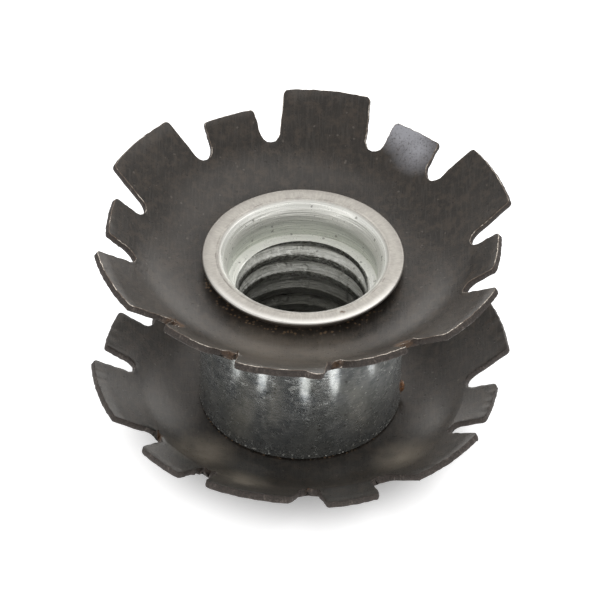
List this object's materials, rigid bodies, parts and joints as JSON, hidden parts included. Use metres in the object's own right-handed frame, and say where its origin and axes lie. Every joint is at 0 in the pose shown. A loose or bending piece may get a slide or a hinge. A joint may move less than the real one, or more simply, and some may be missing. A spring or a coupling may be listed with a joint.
{
  "type": "star-washer threaded tube insert",
  "caption": "Threaded tube insert: a zinc-plated tapped sleeve with a dished star washer riveted on at each end, whose sprung teeth grip the bore of a round tube.",
  "frame": {"origin": "foot of the thread axis, on the face of the lower lip that the part stands on", "axes": "+Z along the thread axis, the way the teeth lean and the stem leaves; X to the right of the picture's view and Y away from it"},
  "size_m": [0.0284, 0.0284, 0.0165],
  "materials": {
    "zinc_sleeve": "turned steel with a bright zinc plate, scuffed and speckled on the body",
    "black_spring_steel": "blackened spring steel with bare sheared edges and specks of rust"
  },
  "bodies": {
    "root": {"threaded_sleeve": "zinc_sleeve", "upper_star_washer": "black_spring_steel", "lower_star_washer": "black_spring_steel"}
  },
  "joints": []
}
